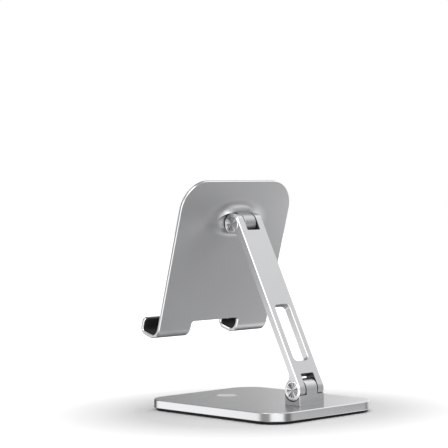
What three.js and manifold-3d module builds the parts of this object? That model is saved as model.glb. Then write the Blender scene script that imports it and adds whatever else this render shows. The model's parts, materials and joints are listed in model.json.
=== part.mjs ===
// Folding tablet stand: a weighted base plate, a flat arm between two friction hinges, and a
// tray with two hooks that hold the tablet's lower edge.
// Millimetres, +Z up. X runs along both hinge pins, -Y is the front, where the tablet faces.
// The origin is the centre of the base's underside. The stand is symmetric about X = 0.

import * as THREE from 'three';
import { mergeVertices } from 'three/addons/utils/BufferGeometryUtils.js';
import Module from 'manifold-3d';

const wasm = await Module();
wasm.setup();

// ---- driving dimensions ----
const BASE_WIDTH = 107;
const BASE_DEPTH = 140.5;
const BASE_CORNER = 18.5;
const BASE_THICK = 6.2;
const BASE_CHAMFER = 0.7;
const MAT_THICK = 2;
const MAT_INSET = 1.8;
const BADGE_RADIUS = 7.8;
const BADGE_THICK = 0.8;
const BADGE_Y = -37;
const BASE_TOP = MAT_THICK + BASE_THICK;

const BARREL_RADIUS = 7.6;          // the round ends of the arm, and both knuckles
const KNUCKLE_HALF = 5.6;           // half the width of the knuckle between the arm's ears
const SLOT_HALF = 6.3;              // half the width of the opening between the ears
const ARM_HALF = 12.3;              // half the width of the arm
const RECESS_RADIUS = 8.15;         // the hollow that an ear turns in

const LOWER_Y = 45.9;
const LOWER_Z = 19.25;
const ARM_LENGTH = 133.1;           // from the lower pin to the upper pin
const ARM_LEAN = 27.05;             // degrees forward of upright
const ARM_THICK = 5.65;
const ARM_FRONT = BARREL_RADIUS - ARM_THICK;
const ARM_FILLET = 6;
const WINDOW_REACH = 9;             // how far the gap between the ears runs past the pin
const CABLE_SLOT_START = 18.9;
const CABLE_SLOT_END = 63.4;
const CABLE_SLOT_HALF = 7.2;
const CABLE_SLOT_CORNER = 3.4;

const PIN_RADIUS = 3;
const PIN_BORE = 3.1;
const PIN_HEAD_RADIUS = 5;
const PIN_HEAD_THICK = 1.6;
const HEAD_BORE = 5.4;
const HEAD_BORE_FLOOR = 7.9;        // distance of the head's seat from the middle plane
const CAP_RADIUS = 6.6;
const CAP_THICK = 1.1;
const CAP_BORE = 6.75;
const CAP_SEAT = 11.1;              // distance of the cap's seat from the middle plane
const SHANK_PLAY = 0.02;            // between a pin and the nut and springs on it
const SPRING_THICK = 0.7;
const WASHER_RADIUS = 6.4;
const WASHER_THICK = 0.5;
const WASHER_GAP = 0.1;             // between a washer and the metal at each side of it

const TRAY_TILT = 17.24;            // degrees back from upright
const TRAY_WIDTH = 109.5;
const TRAY_TOP = 29.9;              // top edge above the upper pin, along the tray
const TRAY_CORNER = 22;
const TRAY_OFFSET = 10.42;          // from the upper pin forward to the tray's rear face
const SHEET = 2.5;
const NOTCH_HALF = 23.5;
const NOTCH_TOP = -79.5;
const NOTCH_CORNER = 2.5;
const HOOK_BEND_START = -84.3;
const HOOK_BEND_RADIUS = 9;         // outside radius of the bend from the tray to the hook's floor
const HOOK_DEPTH = 21;              // from the tray's rear face to the front of the lip
const LIP_BEND_RADIUS = 5;
const LIP_RISE = 7;                 // straight part of the lip above its bend

const BOSS_HEIGHT = 6.5;
const BOSS_CROWN_HALF = 13.2;       // half the width of the boss's crown
const BOSS_CROWN_TOP = 9;           // above the upper pin, along the tray
const BOSS_CROWN_BOTTOM = 7.9;      // below the upper pin
const BOSS_CROWN_SQUARENESS = 4;    // 2 is an ellipse, more is squarer
const BOSS_FOOT_HALF = 34;
const BOSS_FOOT_TOP = 17.5;
const BOSS_FOOT_BOTTOM = 15;
const BOSS_RIM = 0.4;               // the boss's thickness where it meets the tray
const BOSS_WALL = 0.22;             // share of the flank's width that its steep wall takes
const BOSS_WALL_RISE = 0.6;         // share of the boss's height that the wall takes
const BOSS_STEPS = 8;

const SCREW_RADIUS = 2;
const SCREW_HEAD_RADIUS = 3.6;
const SCREW_HEAD_THICK = 1.8;
const SCREW_RIM = 0.4;              // straight edge of a countersunk head
const SCREW_CLEARANCE = 0.3;
const BLOCK_SCREW_X = 8.2;
const BLOCK_SCREW_LENGTH = 9;
const TRAY_SCREW_X = 17;
const TRAY_SCREW_HEIGHTS = [-5, 5];  // below and above the pin, where the boss is thick
const TRAY_SCREW_LENGTH = 3.4;
const TRAY_SCREW_RADIUS = 1.5;
const TRAY_SCREW_HEAD_RADIUS = 3;
const TRAY_SCREW_HEAD_THICK = 1.5;
const TRAY_SCREW_RIM = 0.3;

const PAD_THICK = 1;
const PAD_GAP = 0.3;                // glue line between a pad and the metal
const PAD_HALF_WIDTH = 46;
const PAD_TOP = 22;
const PAD_BOTTOM = -70;
const PAD_CORNER = 12;
const LINER_INSET = 1;              // of a hook's liner from the hook's edges

const MARGIN = 1;                   // how far a cut runs past the face that it opens
const OVERLAP = 0.5;                // how far pieces that are joined run into each other
const THROUGH = 20;                 // half the length of a cut that goes right through the arm

const radians = THREE.MathUtils.degToRad;
const sides = [['left', 1], ['right', -1]];

// ---- materials ----
function metal(name, color, roughness) {
  return new THREE.MeshStandardMaterial({ name, color, roughness, metalness: 1 });
}
const aluminium = metal('satin_aluminium', 0xc4c6c8, 0.42);
const brightAluminium = metal('bright_aluminium', 0xdcdddf, 0.22);
const steel = metal('dark_steel', 0x8b8d90, 0.35);
const rubber = new THREE.MeshStandardMaterial({ name: 'black_rubber', color: 0x141415, roughness: 0.85 });
const nylon = new THREE.MeshStandardMaterial({ name: 'nylon', color: 0x2a2a2c, roughness: 0.6 });

// ---- solids ----
function solidFrom(geometry) {
  const bare = geometry.clone();
  bare.deleteAttribute('normal');
  bare.deleteAttribute('uv');
  const merged = mergeVertices(bare, 1e-4);
  const vertProperties = new Float32Array(merged.attributes.position.array);
  const triVerts = new Uint32Array(merged.index.array);
  return new wasm.Manifold(new wasm.Mesh({ numProp: 3, vertProperties, triVerts }));
}

function geometryFrom(solid) {
  const mesh = solid.getMesh();
  const geometry = new THREE.BufferGeometry();
  geometry.setAttribute('position', new THREE.BufferAttribute(mesh.vertProperties, 3));
  geometry.setIndex(new THREE.BufferAttribute(mesh.triVerts, 1));
  geometry.computeVertexNormals();
  return geometry;
}

function named(name, shape, material) {
  const geometry = shape.isBufferGeometry ? shape : geometryFrom(shape);
  const mesh = new THREE.Mesh(geometry, material);
  mesh.name = name;
  return mesh;
}

function inOrder(a, b) {
  return a < b ? [a, b] : [b, a];
}

// A rectangle with round corners, from (x0, y0) to (x1, y1).
function roundedRectangle(x0, y0, x1, y1, radius) {
  const shape = new THREE.Shape();
  shape.moveTo(x0 + radius, y0);
  shape.lineTo(x1 - radius, y0);
  shape.absarc(x1 - radius, y0 + radius, radius, -Math.PI / 2, 0, false);
  shape.absarc(x1 - radius, y1 - radius, radius, 0, Math.PI / 2, false);
  shape.absarc(x0 + radius, y1 - radius, radius, Math.PI / 2, Math.PI, false);
  shape.absarc(x0 + radius, y0 + radius, radius, Math.PI, Math.PI * 1.5, false);
  return shape;
}

function slab(shape, thickness, curveSegments = 8) {
  return new THREE.ExtrudeGeometry(shape, { depth: thickness, bevelEnabled: false, curveSegments });
}

// An outline drawn in (Y, Z), swept along X between two planes.
function acrossX(shape, x0, x1, curveSegments = 16) {
  const geometry = slab(shape, x1 - x0, curveSegments);
  const toYZ = new THREE.Matrix4().makeBasis(
    new THREE.Vector3(0, 1, 0),
    new THREE.Vector3(0, 0, 1),
    new THREE.Vector3(1, 0, 0),
  );
  return geometry.applyMatrix4(toYZ).translate(x0, 0, 0);
}

// An outline drawn in (X, Z), swept along Y between two planes.
function acrossY(shape, y0, y1, curveSegments = 8) {
  const geometry = slab(shape, y1 - y0, curveSegments);
  return geometry.rotateX(Math.PI / 2).translate(0, y1, 0);
}

// A turned piece on the X axis. The profile is a list of [radius, x] from axis to axis.
function turnedOnX(profile, segments = 24) {
  const points = profile.map(([radius, x]) => new THREE.Vector2(radius, -x));
  return new THREE.LatheGeometry(points, segments).rotateZ(Math.PI / 2);
}

function turnedOnZ(profile, segments = 24) {
  const points = profile.map(([radius, z]) => new THREE.Vector2(radius, z));
  return new THREE.LatheGeometry(points, segments).rotateX(Math.PI / 2);
}

function rod(radius, x0, x1, segments = 24) {
  return turnedOnX([[0, x1], [radius, x1], [radius, x0], [0, x0]], segments);
}

function ring(inner, outer, x0, x1, segments = 24) {
  return turnedOnX([[inner, x0], [inner, x1], [outer, x1], [outer, x0], [inner, x0]], segments);
}

function box(x0, x1, y0, y1, z0, z1) {
  const geometry = new THREE.BoxGeometry(x1 - x0, y1 - y0, z1 - z0);
  return geometry.translate((x0 + x1) / 2, (y0 + y1) / 2, (z0 + z1) / 2);
}

// ---- base ----
function basePlate() {
  const inset = BASE_CHAMFER;
  const outline = roundedRectangle(
    -BASE_WIDTH / 2 + inset, -BASE_DEPTH / 2 + inset,
    BASE_WIDTH / 2 - inset, BASE_DEPTH / 2 - inset, BASE_CORNER - inset,
  );
  const geometry = new THREE.ExtrudeGeometry(outline, {
    depth: BASE_THICK - 2 * BASE_CHAMFER,
    bevelThickness: BASE_CHAMFER,
    bevelSize: BASE_CHAMFER,
    bevelSegments: 1,
    curveSegments: 10,
  });
  geometry.translate(0, 0, MAT_THICK + BASE_CHAMFER);
  let plate = solidFrom(geometry);
  const pocketFloor = BASE_TOP - BADGE_THICK;
  const pocket = turnedOnZ([
    [0, pocketFloor], [BADGE_RADIUS, pocketFloor], [BADGE_RADIUS, BASE_TOP + MARGIN], [0, BASE_TOP + MARGIN],
  ], 32);
  plate = plate.subtract(solidFrom(pocket.translate(0, BADGE_Y, 0)));
  for (const side of [-1, 1]) {
    const hole = blockScrewShape(SCREW_CLEARANCE, BLOCK_SCREW_LENGTH);
    plate = plate.subtract(solidFrom(hole.translate(side * BLOCK_SCREW_X, LOWER_Y, 0)));
  }
  return plate;
}

function baseMat() {
  const outline = roundedRectangle(
    -BASE_WIDTH / 2 + MAT_INSET, -BASE_DEPTH / 2 + MAT_INSET,
    BASE_WIDTH / 2 - MAT_INSET, BASE_DEPTH / 2 - MAT_INSET, BASE_CORNER - MAT_INSET,
  );
  return slab(outline, MAT_THICK, 8);
}

function baseBadge() {
  const bottom = BASE_TOP - BADGE_THICK;
  const disc = turnedOnZ([[0, bottom], [BADGE_RADIUS, bottom], [BADGE_RADIUS, BASE_TOP], [0, BASE_TOP]], 32);
  return disc.translate(0, BADGE_Y, 0);
}

// A countersunk screw under the base plate, pointing up, with room added for its hole.
function blockScrewShape(room, length) {
  const head = SCREW_HEAD_RADIUS + room;
  const shank = SCREW_RADIUS + room;
  const neck = MAT_THICK + SCREW_HEAD_THICK + room;
  const tip = MAT_THICK + length + room;
  return turnedOnZ([
    [0, MAT_THICK], [head, MAT_THICK], [head, MAT_THICK + SCREW_RIM], [shank, neck], [shank, tip], [0, tip],
  ], 16);
}

// The block on the base: a full-width foot with a round knuckle in its middle. An ear of the arm
// turns in the hollow at each side of the knuckle.
function hingeBlock() {
  const profile = new THREE.Shape();
  profile.moveTo(-BARREL_RADIUS, BASE_TOP);
  profile.lineTo(BARREL_RADIUS, BASE_TOP);
  profile.lineTo(BARREL_RADIUS, LOWER_Z);
  profile.absarc(0, LOWER_Z, BARREL_RADIUS, 0, Math.PI, false);
  let block = solidFrom(acrossX(profile, -ARM_HALF, ARM_HALF).translate(0, LOWER_Y, 0));
  const [rear, front] = [LOWER_Y + RECESS_RADIUS, LOWER_Y - RECESS_RADIUS];
  for (const side of [-1, 1]) {
    const [x0, x1] = inOrder(side * KNUCKLE_HALF, side * (ARM_HALF + MARGIN));
    const hollow = rod(RECESS_RADIUS, x0, x1, 48).translate(0, LOWER_Y, LOWER_Z);
    const above = box(x0, x1, front, rear, LOWER_Z, LOWER_Z + RECESS_RADIUS);
    const hole = blockScrewShape(SCREW_CLEARANCE, BLOCK_SCREW_LENGTH);
    block = block.subtract(solidFrom(hollow)).subtract(solidFrom(above));
    block = block.subtract(solidFrom(hole.translate(side * BLOCK_SCREW_X, LOWER_Y, 0)));
  }
  const bore = rod(PIN_BORE, -ARM_HALF, ARM_HALF).translate(0, LOWER_Y, LOWER_Z);
  return block.subtract(solidFrom(bore));
}

// ---- arm, drawn with the lower pin at the origin and the upper pin straight above it ----
function armProfile() {
  const shape = new THREE.Shape();
  const radius = BARREL_RADIUS;
  const reach = Math.sqrt((radius + ARM_FILLET) ** 2 - (ARM_FRONT - ARM_FILLET) ** 2);
  const turn = Math.atan2(reach, ARM_FRONT - ARM_FILLET);
  const top = ARM_LENGTH;
  shape.moveTo(radius, 0);
  shape.lineTo(radius, top);
  shape.absarc(0, top, radius, 0, 2 * Math.PI - turn, false);
  shape.absarc(ARM_FRONT - ARM_FILLET, top - reach, ARM_FILLET, Math.PI - turn, 0, true);
  shape.absarc(ARM_FRONT - ARM_FILLET, reach, ARM_FILLET, 0, turn - Math.PI, true);
  shape.absarc(0, 0, radius, turn, 2 * Math.PI, false);
  return shape;
}

function arm() {
  let body = solidFrom(acrossX(armProfile(), -ARM_HALF, ARM_HALF, 14));
  const cable = roundedRectangle(
    -CABLE_SLOT_HALF, CABLE_SLOT_START, CABLE_SLOT_HALF, CABLE_SLOT_END, CABLE_SLOT_CORNER,
  );
  body = body.subtract(solidFrom(acrossY(cable, -THROUGH, THROUGH, 5)));
  for (const pin of [0, ARM_LENGTH]) {
    const inward = pin === 0 ? 1 : -1;
    const [z0, z1] = inOrder(pin - inward * THROUGH, pin + inward * WINDOW_REACH);
    body = body.subtract(solidFrom(box(-SLOT_HALF, SLOT_HALF, -THROUGH, THROUGH, z0, z1)));
    body = body.subtract(solidFrom(rod(PIN_BORE, -THROUGH, THROUGH).translate(0, 0, pin)));
    for (const side of [-1, 1]) {
      const [h0, h1] = inOrder(side * HEAD_BORE_FLOOR, side * THROUGH);
      body = body.subtract(solidFrom(rod(HEAD_BORE, h0, h1).translate(0, 0, pin)));
      const [c0, c1] = inOrder(side * CAP_SEAT, side * THROUGH);
      body = body.subtract(solidFrom(rod(CAP_BORE, c0, c1, 32).translate(0, 0, pin)));
    }
  }
  return body;
}

// The pieces on one pin: the headed pin, its nut with two disc springs, the friction washers
// beside the knuckle, and the cap that hides each end.
function pinSet(prefix, z) {
  const group = new THREE.Group();
  group.position.z = z;
  const nutFloor = HEAD_BORE_FLOOR + 2 * SPRING_THICK;
  const nutTop = nutFloor + PIN_HEAD_THICK;
  const pin = turnedOnX([
    [0, HEAD_BORE_FLOOR + PIN_HEAD_THICK],
    [PIN_HEAD_RADIUS, HEAD_BORE_FLOOR + PIN_HEAD_THICK],
    [PIN_HEAD_RADIUS, HEAD_BORE_FLOOR],
    [PIN_RADIUS, HEAD_BORE_FLOOR],
    [PIN_RADIUS, -nutTop],
    [0, -nutTop],
  ]);
  group.add(named(`${prefix}_pin`, pin, steel));
  const inner = PIN_RADIUS + SHANK_PLAY;
  for (const index of [1, 2]) {
    const near = HEAD_BORE_FLOOR + (index - 1) * SPRING_THICK;
    const spring = ring(inner, PIN_HEAD_RADIUS, -near - SPRING_THICK, -near);
    group.add(named(`${prefix}_disc_spring_${index}`, spring, steel));
  }
  group.add(named(`${prefix}_nut`, ring(inner, PIN_HEAD_RADIUS, -nutTop, -nutFloor), steel));
  for (const [label, side] of sides) {
    const washerFace = KNUCKLE_HALF + WASHER_GAP;
    const [w0, w1] = inOrder(side * washerFace, side * (washerFace + WASHER_THICK));
    group.add(named(`${prefix}_washer_${label}`, ring(PIN_BORE, WASHER_RADIUS, w0, w1), nylon));
    const [c0, c1] = inOrder(side * CAP_SEAT, side * (CAP_SEAT + CAP_THICK));
    group.add(named(`${prefix}_cap_${label}`, rod(CAP_RADIUS, c0, c1, 32), brightAluminium));
  }
  return group;
}

// ---- tray, drawn with the upper pin at the origin, its sheet upright and its front at -Y ----
const TRAY_REAR = -TRAY_OFFSET;
const TRAY_FRONT = TRAY_REAR - SHEET;

// The sheet's section through a hook: down the tray, round the bend, along the floor, up the lip.
function hookProfile() {
  const shape = new THREE.Shape();
  const bendY = TRAY_REAR - HOOK_BEND_RADIUS;
  const lipY = TRAY_REAR - HOOK_DEPTH + LIP_BEND_RADIUS;
  const floorZ = HOOK_BEND_START - HOOK_BEND_RADIUS;
  const lipZ = floorZ + LIP_BEND_RADIUS;
  const inside = HOOK_BEND_RADIUS - SHEET;
  const lipInside = LIP_BEND_RADIUS - SHEET;
  shape.moveTo(TRAY_REAR, NOTCH_TOP);
  shape.lineTo(TRAY_FRONT, NOTCH_TOP);
  shape.lineTo(TRAY_FRONT, HOOK_BEND_START);
  shape.absarc(bendY, HOOK_BEND_START, inside, 0, -Math.PI / 2, true);
  shape.lineTo(lipY, floorZ + SHEET);
  shape.absarc(lipY, lipZ, lipInside, -Math.PI / 2, -Math.PI, true);
  shape.lineTo(lipY - lipInside, lipZ + LIP_RISE);
  shape.lineTo(lipY - LIP_BEND_RADIUS, lipZ + LIP_RISE);
  shape.lineTo(lipY - LIP_BEND_RADIUS, lipZ);
  shape.absarc(lipY, lipZ, LIP_BEND_RADIUS, Math.PI, Math.PI * 1.5, false);
  shape.lineTo(bendY, floorZ);
  shape.absarc(bendY, HOOK_BEND_START, HOOK_BEND_RADIUS, -Math.PI / 2, 0, false);
  return shape;
}

// The flat of the tray down to the top of the notch, with round top corners.
function trayOutline() {
  const half = TRAY_WIDTH / 2;
  const shape = new THREE.Shape();
  shape.moveTo(-half, NOTCH_TOP);
  shape.lineTo(half, NOTCH_TOP);
  shape.lineTo(half, TRAY_TOP - TRAY_CORNER);
  shape.absarc(half - TRAY_CORNER, TRAY_TOP - TRAY_CORNER, TRAY_CORNER, 0, Math.PI / 2, false);
  shape.absarc(TRAY_CORNER - half, TRAY_TOP - TRAY_CORNER, TRAY_CORNER, Math.PI / 2, Math.PI, false);
  return shape;
}

// The fillet in a top corner of the notch.
function notchCorner(side) {
  const shape = new THREE.Shape();
  const inner = NOTCH_HALF - NOTCH_CORNER;
  const start = side > 0 ? 0 : Math.PI;
  shape.moveTo(side * NOTCH_HALF, NOTCH_TOP + OVERLAP);
  shape.lineTo(side * NOTCH_HALF, NOTCH_TOP - NOTCH_CORNER);
  shape.absarc(side * inner, NOTCH_TOP - NOTCH_CORNER, NOTCH_CORNER, start, Math.PI / 2, side < 0);
  shape.lineTo(side * inner, NOTCH_TOP + OVERLAP);
  return shape;
}

function trayPlate() {
  let plate = solidFrom(acrossY(trayOutline(), TRAY_FRONT, TRAY_REAR, 12));
  const half = TRAY_WIDTH / 2;
  for (const side of [-1, 1]) {
    const [x0, x1] = inOrder(side * NOTCH_HALF, side * half);
    plate = plate.add(solidFrom(acrossX(hookProfile(), x0, x1, 8)));
    const web = notchCorner(side);
    plate = plate.add(solidFrom(acrossY(web, TRAY_FRONT, TRAY_REAR, 4)));
    for (const z of TRAY_SCREW_HEIGHTS) {
      const hole = trayScrewShape(SCREW_CLEARANCE).translate(side * TRAY_SCREW_X, 0, z);
      plate = plate.subtract(solidFrom(hole));
    }
  }
  return plate;
}

// A countersunk screw through the tray from its front into the boss.
function trayScrewShape(room) {
  const head = TRAY_SCREW_HEAD_RADIUS + room;
  const shank = TRAY_SCREW_RADIUS + room;
  const tip = TRAY_SCREW_LENGTH + room;
  const screw = turnedOnZ([
    [0, 0], [head, 0], [head, TRAY_SCREW_RIM], [shank, TRAY_SCREW_HEAD_THICK], [shank, tip], [0, tip],
  ], 12);
  return screw.rotateX(-Math.PI / 2).translate(0, TRAY_FRONT, 0);
}

// The height of the boss's flank: a steep wall beside the crown, then a long hollow tail.
function bossFlank(share) {
  const wall = Math.max(0, 1 - share / BOSS_WALL) ** 2;
  const tail = (1 - share) ** 3;
  const rise = BOSS_WALL_RISE * wall + (1 - BOSS_WALL_RISE) * tail;
  return BOSS_RIM + (BOSS_HEIGHT - BOSS_RIM) * rise;
}

// An outline of the boss in (X, Z), from its crown at share 0 to its foot at share 1.
function bossOutline(share, count) {
  const points = [];
  for (let i = 0; i < count; i += 1) {
    const angle = (2 * Math.PI * i) / count;
    const [across, up] = [Math.cos(angle), Math.sin(angle)];
    const square = (value) => Math.sign(value) * Math.abs(value) ** (2 / BOSS_CROWN_SQUARENESS);
    const crownHeight = up > 0 ? BOSS_CROWN_TOP : BOSS_CROWN_BOTTOM;
    const footHeight = up > 0 ? BOSS_FOOT_TOP : BOSS_FOOT_BOTTOM;
    points.push([
      THREE.MathUtils.lerp(BOSS_CROWN_HALF * square(across), BOSS_FOOT_HALF * across, share),
      THREE.MathUtils.lerp(crownHeight * square(up), footHeight * up, share),
    ]);
  }
  return points;
}

// A closed body through outlines in (X, Z), each at its own Y, from low to high.
function stackedOnY(layers) {
  const corners = [];
  const faces = [];
  const count = layers[0].outline.length;
  layers.forEach(({ outline, y }) => outline.forEach(([x, z]) => corners.push(x, y, z)));
  const last = (layers.length - 1) * count;
  for (let i = 0; i < count; i += 1) {
    const j = (i + 1) % count;
    for (let low = 0; low < last; low += count) {
      const high = low + count;
      faces.push(low + i, high + i, high + j, low + i, high + j, low + j);
    }
    if (i > 0 && j > 0) {
      faces.push(0, i, j, last, last + j, last + i);
    }
  }
  const geometry = new THREE.BufferGeometry();
  geometry.setAttribute('position', new THREE.Float32BufferAttribute(corners, 3));
  geometry.setIndex(faces);
  return geometry;
}

// The boss behind the tray: a low mound that flares out to the tray, with the knuckle on its
// crest and a round hollow across it for the arm's ears.
function trayBoss() {
  const foot = TRAY_REAR + PAD_GAP;
  const layers = [{ outline: bossOutline(1, 48), y: foot }];
  for (let step = BOSS_STEPS; step >= 0; step -= 1) {
    const share = (step / BOSS_STEPS) ** 2;
    layers.push({ outline: bossOutline(share, 48), y: foot + bossFlank(share) });
  }
  let boss = solidFrom(stackedOnY(layers));
  boss = boss.subtract(solidFrom(rod(RECESS_RADIUS, -BOSS_FOOT_HALF, BOSS_FOOT_HALF, 48)));
  const knuckle = new THREE.Shape();
  knuckle.moveTo(0, -BARREL_RADIUS);
  knuckle.absarc(0, 0, BARREL_RADIUS, -Math.PI / 2, Math.PI / 2, false);
  knuckle.lineTo(foot + OVERLAP, BARREL_RADIUS + MARGIN);
  knuckle.lineTo(foot + OVERLAP, -BARREL_RADIUS - MARGIN);
  boss = boss.add(solidFrom(acrossX(knuckle, -KNUCKLE_HALF, KNUCKLE_HALF)));
  for (const side of [-1, 1]) {
    for (const z of TRAY_SCREW_HEIGHTS) {
      const hole = trayScrewShape(SCREW_CLEARANCE).translate(side * TRAY_SCREW_X, 0, z);
      boss = boss.subtract(solidFrom(hole));
    }
  }
  return boss.subtract(solidFrom(rod(PIN_BORE, -ARM_HALF, ARM_HALF)));
}

function trayPad() {
  const outline = roundedRectangle(-PAD_HALF_WIDTH, PAD_BOTTOM, PAD_HALF_WIDTH, PAD_TOP, PAD_CORNER);
  return acrossY(outline, TRAY_FRONT - PAD_GAP - PAD_THICK, TRAY_FRONT - PAD_GAP, 6);
}

// The rubber liner of a hook follows the inside of its floor and its lip.
function hookLiner() {
  const shape = new THREE.Shape();
  const gap = PAD_GAP;
  const thick = PAD_THICK;
  const rearY = TRAY_FRONT - HOOK_BEND_RADIUS + SHEET;
  const lipY = TRAY_REAR - HOOK_DEPTH + SHEET + gap;
  const floorZ = HOOK_BEND_START - HOOK_BEND_RADIUS + SHEET + gap;
  const bend = LIP_BEND_RADIUS - SHEET;
  const top = HOOK_BEND_START - HOOK_BEND_RADIUS + LIP_BEND_RADIUS + LIP_RISE;
  shape.moveTo(rearY, floorZ);
  shape.lineTo(rearY, floorZ + thick);
  shape.lineTo(lipY + thick + bend / 2, floorZ + thick);
  shape.lineTo(lipY + thick, floorZ + thick + bend / 2);
  shape.lineTo(lipY + thick, top);
  shape.lineTo(lipY, top);
  shape.lineTo(lipY, floorZ + bend);
  shape.absarc(lipY + bend, floorZ + bend, bend, Math.PI, Math.PI * 1.5, false);
  return shape;
}

// ---- assembly ----
const stand = new THREE.Group();
stand.add(named('base_plate', basePlate(), aluminium));
stand.add(named('base_mat', baseMat(), rubber));
stand.add(named('base_badge', baseBadge(), brightAluminium));
stand.add(named('hinge_block', hingeBlock(), aluminium));
for (const [label, side] of sides) {
  const screw = blockScrewShape(0, BLOCK_SCREW_LENGTH).translate(side * BLOCK_SCREW_X, LOWER_Y, 0);
  stand.add(named(`block_screw_${label}`, screw, steel));
}

const armGroup = new THREE.Group();
armGroup.position.set(0, LOWER_Y, LOWER_Z);
armGroup.rotation.x = radians(ARM_LEAN);
armGroup.add(named('arm', arm(), aluminium));
armGroup.add(pinSet('lower', 0));
armGroup.add(pinSet('upper', ARM_LENGTH));
stand.add(armGroup);

const trayGroup = new THREE.Group();
const upperPin = new THREE.Vector3(0, 0, ARM_LENGTH).applyEuler(armGroup.rotation).add(armGroup.position);
trayGroup.position.copy(upperPin);
trayGroup.rotation.x = -radians(TRAY_TILT);
trayGroup.add(named('tray_plate', trayPlate(), aluminium));
trayGroup.add(named('tray_boss', trayBoss(), aluminium));
trayGroup.add(named('tray_pad', trayPad(), rubber));
for (const [label, side] of sides) {
  const [x0, x1] = inOrder(side * (NOTCH_HALF + LINER_INSET), side * (TRAY_WIDTH / 2 - LINER_INSET));
  trayGroup.add(named(`hook_liner_${label}`, acrossX(hookLiner(), x0, x1, 4), rubber));
  TRAY_SCREW_HEIGHTS.forEach((z, index) => {
    const screw = trayScrewShape(0).translate(side * TRAY_SCREW_X, 0, z);
    trayGroup.add(named(`tray_screw_${label}_${index + 1}`, screw, steel));
  });
}
stand.add(trayGroup);

export default stand;
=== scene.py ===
"""A folding tablet stand in satin aluminium, seen from behind and to its left, on a pale floor.

Everything is in metres in the part's own frame: +Z up, -Y the front, X along both hinge pins.
"""
import json
import math

import bmesh
import bpy
from mathutils import Matrix, Vector


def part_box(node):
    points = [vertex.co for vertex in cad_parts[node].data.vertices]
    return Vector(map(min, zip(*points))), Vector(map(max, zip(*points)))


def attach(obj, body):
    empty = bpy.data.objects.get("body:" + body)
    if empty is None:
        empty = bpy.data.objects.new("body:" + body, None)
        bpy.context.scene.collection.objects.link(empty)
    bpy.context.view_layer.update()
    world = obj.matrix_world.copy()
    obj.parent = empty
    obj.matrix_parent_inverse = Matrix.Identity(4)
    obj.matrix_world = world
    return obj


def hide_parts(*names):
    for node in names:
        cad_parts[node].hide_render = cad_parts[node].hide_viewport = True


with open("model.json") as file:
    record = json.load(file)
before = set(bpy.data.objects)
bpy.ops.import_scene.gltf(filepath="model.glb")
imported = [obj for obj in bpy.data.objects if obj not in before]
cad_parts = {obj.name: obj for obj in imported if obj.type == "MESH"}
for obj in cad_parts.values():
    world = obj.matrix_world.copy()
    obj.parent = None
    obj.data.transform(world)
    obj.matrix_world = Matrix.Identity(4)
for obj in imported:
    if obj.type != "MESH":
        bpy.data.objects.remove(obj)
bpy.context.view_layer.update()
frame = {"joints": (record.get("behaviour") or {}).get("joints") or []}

MM = 0.001

# ---- sizes, taken from the frame where it gives them, and else following the CAD ----
joints = {joint["name"]: joint for joint in frame["joints"]}
LOWER_PIN = Vector(joints["lower_hinge"]["pos_m"])
UPPER_PIN = Vector(joints["upper_hinge"]["pos_m"])
ARM_LENGTH = (UPPER_PIN - LOWER_PIN).length
ARM_LEAN = math.atan2(LOWER_PIN.y - UPPER_PIN.y, UPPER_PIN.z - LOWER_PIN.z)
TRAY_TILT = math.radians(17.24)

PLATE_LOW, PLATE_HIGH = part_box("base_plate")
MAT_LOW, MAT_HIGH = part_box("base_mat")
BADGE_LOW, BADGE_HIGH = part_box("base_badge")
ARM_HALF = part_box("arm")[1].x
TRAY_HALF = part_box("tray_plate")[1].x

# Base, block and barrels.
BASE_CORNER = 18.5 * MM
BASE_CHAMFER = 0.5 * MM
BADGE_GAP = 0.06 * MM
BARREL = 7.6 * MM
RECESS = 8.3 * MM
KNUCKLE_HALF = 5.4 * MM
BLOCK_SCREW_X = 8.2 * MM
BLOCK_SCREW_SHANK = 2.3 * MM
BLOCK_SCREW_HEAD = 3.9 * MM

# Arm: its section, the slot through it, and the window and bores at each end.
EAR_INSIDE = 6.3 * MM
EAR_WINDOW_REACH = 9 * MM
EAR_WINDOW_CORNER = 0.8 * MM
ARM_FRONT = BARREL - 5.65 * MM
ARM_FILLET = 6 * MM
ARM_CHAMFER = 0.42 * MM
SLOT_HALF = 7.2 * MM
SLOT_LOW = 18.9 * MM
SLOT_HIGH = 63.4 * MM
SLOT_CORNER = 3.4 * MM
SLOT_CHAMFER = 0.25 * MM
PIN_BORE = 3.1 * MM
HEAD_BORE = 5.4 * MM
HEAD_SEAT = 7.9 * MM
CAP_BORE = 6.75 * MM
CAP_SEAT = 11.1 * MM

# What sits on each pin.
SHANK = 3 * MM
HEAD_RADIUS = 5 * MM
HEAD_THICKNESS = 1.6 * MM
PIN_CHAMFER = 0.3 * MM
PIN_PLAY = 0.02 * MM
SPRING_PITCH = 0.7 * MM
SPRING_CONE = 0.25 * MM
SPRING_SHEET = 0.4 * MM
NUT_SEAT = HEAD_SEAT + 2 * SPRING_PITCH
WASHER_RADIUS = 6.4 * MM
WASHER_NEAR = KNUCKLE_HALF + 0.1 * MM
WASHER_FAR = KNUCKLE_HALF + 0.6 * MM
CAP_RADIUS = 6.6 * MM
CAP_THICKNESS = 1.1 * MM
CAP_CHAMFER = 0.45 * MM

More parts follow.
